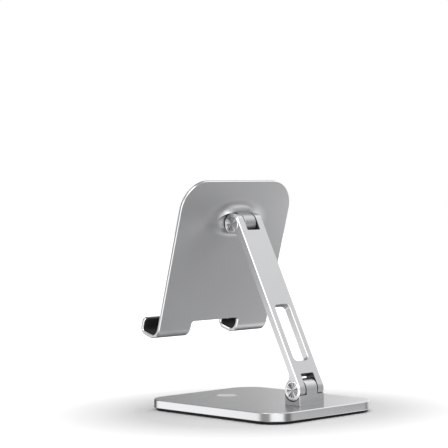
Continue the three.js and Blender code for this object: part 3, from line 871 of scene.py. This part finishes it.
def make_block_screws():
    """Countersunk screws that stand up through the base plate into the block."""
    key = 1.25 * MM
    key_depth = 1.5 * MM
    for label, side in (("left", 1), ("right", -1)):
        x, y, z = side * BLOCK_SCREW_X, LOWER_PIN.y, PLATE_LOW.z
        levels = [(z + height * MM, radius * MM) for height, radius in block_screw_levels()]
        screw = finish_mesh(f"stand_block_screw_{label}", loft(rings_round(x, y, levels, 48)), [STEEL])
        combine(screw, loft(rings_round(x, y, [(z - MM, key), (z + key_depth, key)], 6)))
        settle(screw, "base", "steel", f"block_screw_{label}")


# ---- arm, built with the lower pin at the origin and the upper pin straight above ----
def arm_section():
    """The arm's side view in (y, z): two barrels, flat at the rear, filleted into them at the front."""
    drop = ARM_FRONT - ARM_FILLET
    reach = math.sqrt((BARREL + ARM_FILLET) ** 2 - drop ** 2)
    turn = math.degrees(math.atan2(reach, drop))
    top = ARM_LENGTH
    points = arc((0, top), BARREL, 0, 360 - turn, 110)
    points += arc((drop, top - reach), ARM_FILLET, 180 - turn, 0, 24)
    points += arc((drop, reach), ARM_FILLET, 0, turn - 180, 24)
    points += arc((0, 0), BARREL, turn, 360, 110)
    return without_repeats(points)


def flared_slot():
    """A cutter for the long slot, which opens out by a chamfer at the arm's two faces."""
    outline = without_repeats(rounded_rectangle(
        (-SLOT_HALF, SLOT_LOW), (SLOT_HALF, SLOT_HIGH), SLOT_CORNER))
    margin = 2 * MM
    rings = rings_on_y(outline, [
        (ARM_FRONT - margin, -SLOT_CHAMFER - margin), (ARM_FRONT + SLOT_CHAMFER, 0),
        (BARREL - SLOT_CHAMFER, 0), (BARREL + margin, -SLOT_CHAMFER - margin)])
    return loft(rings, [1, 0, 1])


def ear_window(pin, inward):
    """A cutter that splits the arm's end at a pin's height into two ears."""
    beyond = 20 * MM
    z0, z1 = sorted((pin - inward * beyond, pin + inward * EAR_WINDOW_REACH))
    outline = without_repeats(rounded_rectangle(
        (-EAR_INSIDE, z0), (EAR_INSIDE, z1), EAR_WINDOW_CORNER, 6))
    # The window's faces take slot 2, whose dark tone is painted shade.
    return loft(rings_on_y(outline, [(-beyond, 0), (beyond, 0)]), [2])


def ear_bore(pin, side):
    """A cutter for the pin's bore through one ear, its head's seat and the cap's seat."""
    flare = 0.2 * MM
    profile = [
        (EAR_INSIDE - MM, PIN_BORE, 0), (HEAD_SEAT, PIN_BORE, 0), (HEAD_SEAT, HEAD_BORE, 0),
        (CAP_SEAT, HEAD_BORE, 0), (CAP_SEAT, CAP_BORE, 0), (ARM_HALF - flare, CAP_BORE, 0),
        (ARM_HALF + flare, CAP_BORE + 2 * flare, 1)]
    cutter = turned([(side * x, radius, slot) for x, radius, slot in profile], 96)
    cutter.transform(Matrix.Translation((0, 0, pin)))
    return cutter


def make_arm():
    """The flat bar with a slot, and two ears round a pin at each end."""
    rings = rings_on_x(arm_section(), [
        (-ARM_HALF, ARM_CHAMFER), (-ARM_HALF + ARM_CHAMFER, 0),
        (ARM_HALF - ARM_CHAMFER, 0), (ARM_HALF, ARM_CHAMFER)])
    arm = finish_mesh("stand_arm", loft(rings, [1, 0, 1]), ARM_METALS)
    combine(arm, flared_slot())
    for pin, inward in ((0, 1), (ARM_LENGTH, -1)):
        combine(arm, ear_window(pin, inward))
        for side in (-1, 1):
            combine(arm, ear_bore(pin, side))
    soften(arm, width=0.12 * MM, angle=50)
    settle(arm, "arm", "satin_aluminium", "arm", origin=LOWER_PIN, turn=ARM_LEAN)


# ---- what sits on a pin, built along X round the origin ----
def hexagon(radius, x):
    """A hexagon square to the X axis."""
    return [(x, y, z) for y, z in circle(radius, 6)]


def pin_mesh():
    """The headed pin, before its socket is cut."""
    end = -(NUT_SEAT + HEAD_THICKNESS)
    head_top = HEAD_SEAT + HEAD_THICKNESS
    return turned([
        (end, SHANK - PIN_CHAMFER, 0), (end + PIN_CHAMFER, SHANK, 0), (HEAD_SEAT, SHANK, 0),
        (HEAD_SEAT, HEAD_RADIUS, 0), (head_top - PIN_CHAMFER, HEAD_RADIUS, 0),
        (head_top, HEAD_RADIUS - PIN_CHAMFER, 0)])


def disc_spring_mesh(index):
    """A coned spring washer. The first and the second lean opposite ways."""
    seat = -(HEAD_SEAT + (index - 1) * SPRING_PITCH)
    cone = SPRING_CONE * (1 if index == 1 else -1)
    inner = seat - SPRING_PITCH / 2 - cone / 2
    outer = seat - SPRING_PITCH / 2 + cone / 2
    half = SPRING_SHEET / 2
    bore = SHANK + PIN_PLAY
    return ring_body([
        (inner - half, bore), (inner + half, bore),
        (outer + half, HEAD_RADIUS), (outer - half, HEAD_RADIUS)])


def washer_mesh(side):
    """The friction washer between a knuckle and an ear."""
    near, far = side * WASHER_NEAR, side * WASHER_FAR
    return ring_body([(near, PIN_BORE), (near, WASHER_RADIUS), (far, WASHER_RADIUS), (far, PIN_BORE)])


def cap_mesh(side):
    """The spun disc over the pin's end, slightly dished inside a bright rim."""
    edge = 0.1 * MM
    dish = 0.12 * MM
    top = CAP_SEAT + CAP_THICKNESS
    rim = CAP_RADIUS - 2.2 * CAP_CHAMFER
    face = CAP_RADIUS - 2.5 * CAP_CHAMFER
    profile = [
        (CAP_SEAT, CAP_RADIUS - edge, 0), (CAP_SEAT + edge, CAP_RADIUS, 0),
        (top - CAP_CHAMFER, CAP_RADIUS, 1), (top, CAP_RADIUS - CAP_CHAMFER, 1),
        (top, rim, 1), (top - dish, face, 0)]
    return turned([(side * x, radius, slot) for x, radius, slot in profile], 128)


def make_pin_set(prefix, height):
    """The pieces on one pin, as the CAD names them, at a height along the arm."""
    origin = LOWER_PIN + Matrix.Rotation(ARM_LEAN, 3, "X") @ Vector((0, 0, height))
    here = dict(origin=origin, turn=ARM_LEAN)

    pin = finish_mesh(f"stand_{prefix}_pin", pin_mesh(), [STEEL])
    key = 2 * MM
    socket_floor = HEAD_SEAT + 0.4 * MM
    combine(pin, loft([hexagon(key, socket_floor), hexagon(key, HEAD_SEAT + HEAD_THICKNESS + MM)]))
    settle(pin, "arm", "steel", f"{prefix}_pin", **here)

    for index in (1, 2):
        spring = finish_mesh(f"stand_{prefix}_disc_spring_{index}", disc_spring_mesh(index), [STEEL])
        settle(spring, "arm", "steel", f"{prefix}_disc_spring_{index}", **here)

    near, far = -NUT_SEAT, -NUT_SEAT - HEAD_THICKNESS
    nut_mesh = loft([hexagon(HEAD_RADIUS, far), hexagon(HEAD_RADIUS, near)])
    nut = finish_mesh(f"stand_{prefix}_nut", nut_mesh, [STEEL])
    combine(nut, cylinder(SHANK + PIN_PLAY, far - MM, near + MM, 64))
    soften(nut, width=0.15 * MM)
    settle(nut, "arm", "steel", f"{prefix}_nut", **here)

    for label, side in (("left", 1), ("right", -1)):
        washer = finish_mesh(f"stand_{prefix}_washer_{label}", washer_mesh(side), [NYLON])
        settle(washer, "arm", "nylon", f"{prefix}_washer_{label}", **here)
        cap = finish_mesh(f"stand_{prefix}_cap_{label}", cap_mesh(side), [SPUN_PAINTED_SPOKES[prefix], BRIGHT])
        settle(cap, "arm", "bright_aluminium", f"{prefix}_cap_{label}", **here)


# ---- tray, built with the upper pin at the origin and its sheet upright ----
TRAY_PLACE = dict(origin=UPPER_PIN, turn=-TRAY_TILT)
BEND_LENGTH = BEND_RADIUS * math.pi / 2
FLOOR_LENGTH = HOOK_DEPTH - BEND_RADIUS - LIP_BEND
LIP_BEND_LENGTH = LIP_BEND * math.pi / 2
HOOK_LENGTH = BEND_LENGTH + FLOOR_LENGTH + LIP_BEND_LENGTH + LIP_RISE


def bent(x, y, z):
    """Takes a point of the flat sheet, whose hooks hang straight down, to where bending puts it."""
    depth = TRAY_REAR - y
    past = BEND_START - z
    if past <= 0:
        return (x, y, z)
    floor = BEND_START - BEND_RADIUS
    floor_start = TRAY_REAR - BEND_RADIUS
    if past < BEND_LENGTH:
        angle = past / BEND_RADIUS
        radius = BEND_RADIUS - depth
        return (x, floor_start + radius * math.cos(angle), BEND_START - radius * math.sin(angle))
    past -= BEND_LENGTH
    if past < FLOOR_LENGTH:
        return (x, floor_start - past, floor + depth)
    past -= FLOOR_LENGTH
    floor_end = floor_start - FLOOR_LENGTH
    if past < LIP_BEND_LENGTH:
        angle = past / LIP_BEND
        radius = LIP_BEND - depth
        return (x, floor_end - radius * math.sin(angle), floor + LIP_BEND - radius * math.cos(angle))
    past -= LIP_BEND_LENGTH
    return (x, floor_end - LIP_BEND + depth, floor + LIP_BEND + past)


def flat_outline():
    """The sheet before bending, in (x, z): round top corners, and two tongues beside a notch."""
    end = BEND_START - HOOK_LENGTH
    tip = 3 * MM
    root = 2.5 * MM
    half = TRAY_HALF
    right = arc((half - TRAY_CORNER, TRAY_TOP - TRAY_CORNER), TRAY_CORNER, 0, 90, 40)
    left = arc((TRAY_CORNER - half, TRAY_TOP - TRAY_CORNER), TRAY_CORNER, 90, 180, 40)
    left_tongue = (arc((tip - half, end + tip), tip, 180, 270, 10)
                   + arc((-NOTCH_HALF - tip, end + tip), tip, 270, 360, 10))
    notch = (arc((root - NOTCH_HALF, NOTCH_TOP - root), root, 180, 90, 10)
             + arc((NOTCH_HALF - root, NOTCH_TOP - root), root, 90, 0, 10))
    right_tongue = (arc((NOTCH_HALF + tip, end + tip), tip, 180, 270, 10)
                    + arc((half - tip, end + tip), tip, 270, 360, 10))
    return without_repeats(right + left + left_tongue + notch + right_tongue)


def evenly(start, length, steps):
    """Places spread evenly over a length, both its ends with them."""
    return [start + length * i / steps for i in range(steps + 1)]


def make_tray_plate():
    """The sheet with its hooks, made flat with bright edges, cut where it bends and then bent."""
    rings = rings_on_y(flat_outline(), [
        (TRAY_FRONT, TRAY_CHAMFER), (TRAY_FRONT + TRAY_CHAMFER, 0),
        (TRAY_REAR - TRAY_CHAMFER, 0), (TRAY_REAR, TRAY_CHAMFER)])
    bm = loft(rings, [1, 0, 1])
    bends = evenly(0, BEND_LENGTH, 28) + evenly(BEND_LENGTH + FLOOR_LENGTH, LIP_BEND_LENGTH, 22)
    cut_levels(bm, [BEND_START - past for past in bends])
    for vert in bm.verts:
        vert.co = bent(*vert.co)
    plate = finish_mesh("stand_tray_plate", bm, TRAY_METALS)
    for side in (-1, 1):
        for height in TRAY_SCREW_HEIGHTS:
            combine(plate, tray_screw_hole(side * TRAY_SCREW_X, height))
    settle(plate, "tray", "satin_aluminium", "tray_plate", **TRAY_PLACE)


def tray_screw_profile(room):
    """(depth behind the tray's front, radius) of a countersunk screw or of its hole."""
    head = 3.0 * MM + room
    shank = 1.5 * MM + room
    return [(0, head), (0.3 * MM, head), (1.5 * MM, shank), (3.4 * MM + room, shank)]


def on_tray_front(profile, x, height, count=40):
    """Rings for loft round an axis square to the tray: profile is a list of (depth, radius)."""
    rings = []
    for depth, radius in profile:
        rings.append([(x + u, TRAY_FRONT + depth, height + v) for u, v in circle(radius, count)])
    return rings


def tray_screw_hole(x, height):
    """A countersunk hole from the tray's front, as a cutter."""
    head, *rest = tray_screw_profile(TRAY_SCREW_ROOM)
    return loft(on_tray_front([(-MM, head[1]), *rest], x, height))


def make_tray_screws():
    """Countersunk screws through the tray into the boss, under the pad."""
    key = 1.2 * MM
    key_depth = 0.9 * MM
    for label, side in (("left", 1), ("right", -1)):
        x = side * TRAY_SCREW_X
        for index, height in enumerate(TRAY_SCREW_HEIGHTS, 1):
            name = f"tray_screw_{label}_{index}"
            body = loft(on_tray_front(tray_screw_profile(0), x, height))
            screw = finish_mesh(f"stand_{name}", body, [STEEL])
            combine(screw, loft(on_tray_front([(-MM, key), (key_depth, key)], x, height, 6)))
            settle(screw, "tray", "steel", name, **TRAY_PLACE)


def boss_flank(share):
    """Height of the boss's flank: steep beside the crown, then a long hollow tail."""
    shoulder = 0.45 * (1 - share) ** 9
    tail = 0.55 * (1 - share) ** 2.4
    return BOSS_HEIGHT * (shoulder + tail)


def boss_outline(share, count=144):
    """Outline of the boss in (x, z), from its squarish crown at share 0 to its oval foot at share 1."""
    power = 2 / BOSS_SQUARENESS
    points = []
    for i in range(count):
        angle = 2 * math.pi * i / count
        across, up = math.cos(angle), math.sin(angle)
        crown_x = BOSS_CROWN_HALF * math.copysign(abs(across) ** power, across)
        crown_z = BOSS_CROWN_HEIGHTS[up > 0] * math.copysign(abs(up) ** power, up)
        foot_x = BOSS_FOOT_HALF * across
        foot_z = BOSS_FOOT_HEIGHTS[up > 0] * up
        points.append((crown_x + (foot_x - crown_x) * share, crown_z + (foot_z - crown_z) * share))
    return points


def boss_rings():
    """Rings of the mound from its foot up its hollow flank to its flat crown, closer near the crown."""
    steps = 40
    crowding = 1.6
    flat = 0.6
    rings = []
    for step in range(steps, -1, -1):
        share = (step / steps) ** crowding
        height = BOSS_FOOT + boss_flank(share)
        rings.append([(x, height, z) for x, z in boss_outline(share)])
    rings.append([(x * flat, BOSS_FOOT + BOSS_HEIGHT, z * flat) for x, z in boss_outline(0)])
    return rings


def boss_knuckle():
    """The round knuckle with flanks that widen down to the tray."""
    foot = TRAY_REAR + 0.5 * MM
    wide = BARREL + 1.2 * MM
    section = without_repeats(arc((0, 0), BARREL, -90, 90, 96) + [(foot, wide), (foot, -wide)])
    edge = 0.2 * MM
    return loft(rings_on_x(section, [
        (-KNUCKLE_HALF, edge), (edge - KNUCKLE_HALF, 0), (KNUCKLE_HALF - edge, 0), (KNUCKLE_HALF, edge)]))


def make_tray_boss():
    """The mound behind the tray, hollowed beside its knuckle for the arm's ears."""
    boss = finish_mesh("stand_tray_boss", loft(boss_rings()), TRAY_METALS, sharp=40)
    beyond = 60 * MM
    for side in (-1, 1):
        x0, x1 = sorted((side * KNUCKLE_HALF, side * beyond))
        combine(boss, cylinder(RECESS, x0, x1, 160))
    combine(boss, boss_knuckle(), "UNION")
    combine(boss, cylinder(PIN_BORE, -ARM_HALF - MM, ARM_HALF + MM, 64))
    for side in (-1, 1):
        for height in TRAY_SCREW_HEIGHTS:
            combine(boss, tray_screw_hole(side * TRAY_SCREW_X, height))
    settle(boss, "tray", "satin_aluminium", "tray_boss", **TRAY_PLACE)


def make_tray_pad():
    """The rubber pad on the tray's front, rolled at its edge."""
    rear = TRAY_FRONT - GLUE
    front = rear - PAD_THICKNESS
    edge = 0.5 * MM
    roll = 0.15 * MM
    outline = without_repeats(rounded_rectangle(PAD_LOW, PAD_HIGH, PAD_CORNER, 20))
    rings = rings_on_y(outline, [(front, edge), (front + roll, roll), (front + edge, 0), (rear, 0)])
    pad = finish_mesh("stand_tray_pad", loft(rings), [RUBBER])
    settle(pad, "tray", "black_rubber", "tray_pad", **TRAY_PLACE)


def make_hook_liners():
    """Rubber strips bent with the hooks, from inside the first bend to just below the lip's top."""
    rear = TRAY_FRONT - GLUE
    front = rear - LINER_THICKNESS
    margin = MM
    end_margin = 0.6 * MM
    edge = 0.35 * MM
    low = BEND_START - HOOK_LENGTH + end_margin
    high = BEND_START - BEND_LENGTH * LINER_START
    for label, side in (("left", 1), ("right", -1)):
        x0, x1 = sorted((side * (NOTCH_HALF + margin), side * (TRAY_HALF - margin)))
        outline = without_repeats(rounded_rectangle((x0, low), (x1, high), LINER_CORNER, 8))
        bm = loft(rings_on_y(outline, [(front, edge), (front + edge, 0), (rear, 0)]))
        cut_levels(bm, evenly(high, low - high, 60)[1:-1])
        for vert in bm.verts:
            vert.co = bent(*vert.co)
        liner = finish_mesh(f"stand_hook_liner_{label}", bm, [RUBBER])
        settle(liner, "tray", "black_rubber", f"hook_liner_{label}", **TRAY_PLACE)


# ---- the scene ----
bpy.context.scene.view_settings.view_transform = "Standard"
make_camera()
make_floor()
make_backdrop()
make_world()
make_light()

make_base_plate()
make_base_mat()
make_badge()
make_hinge_block()
make_block_screws()
make_arm()
make_pin_set("lower", 0)
make_pin_set("upper", ARM_LENGTH)
make_tray_plate()
make_tray_screws()
make_tray_boss()
make_tray_pad()
make_hook_liners()
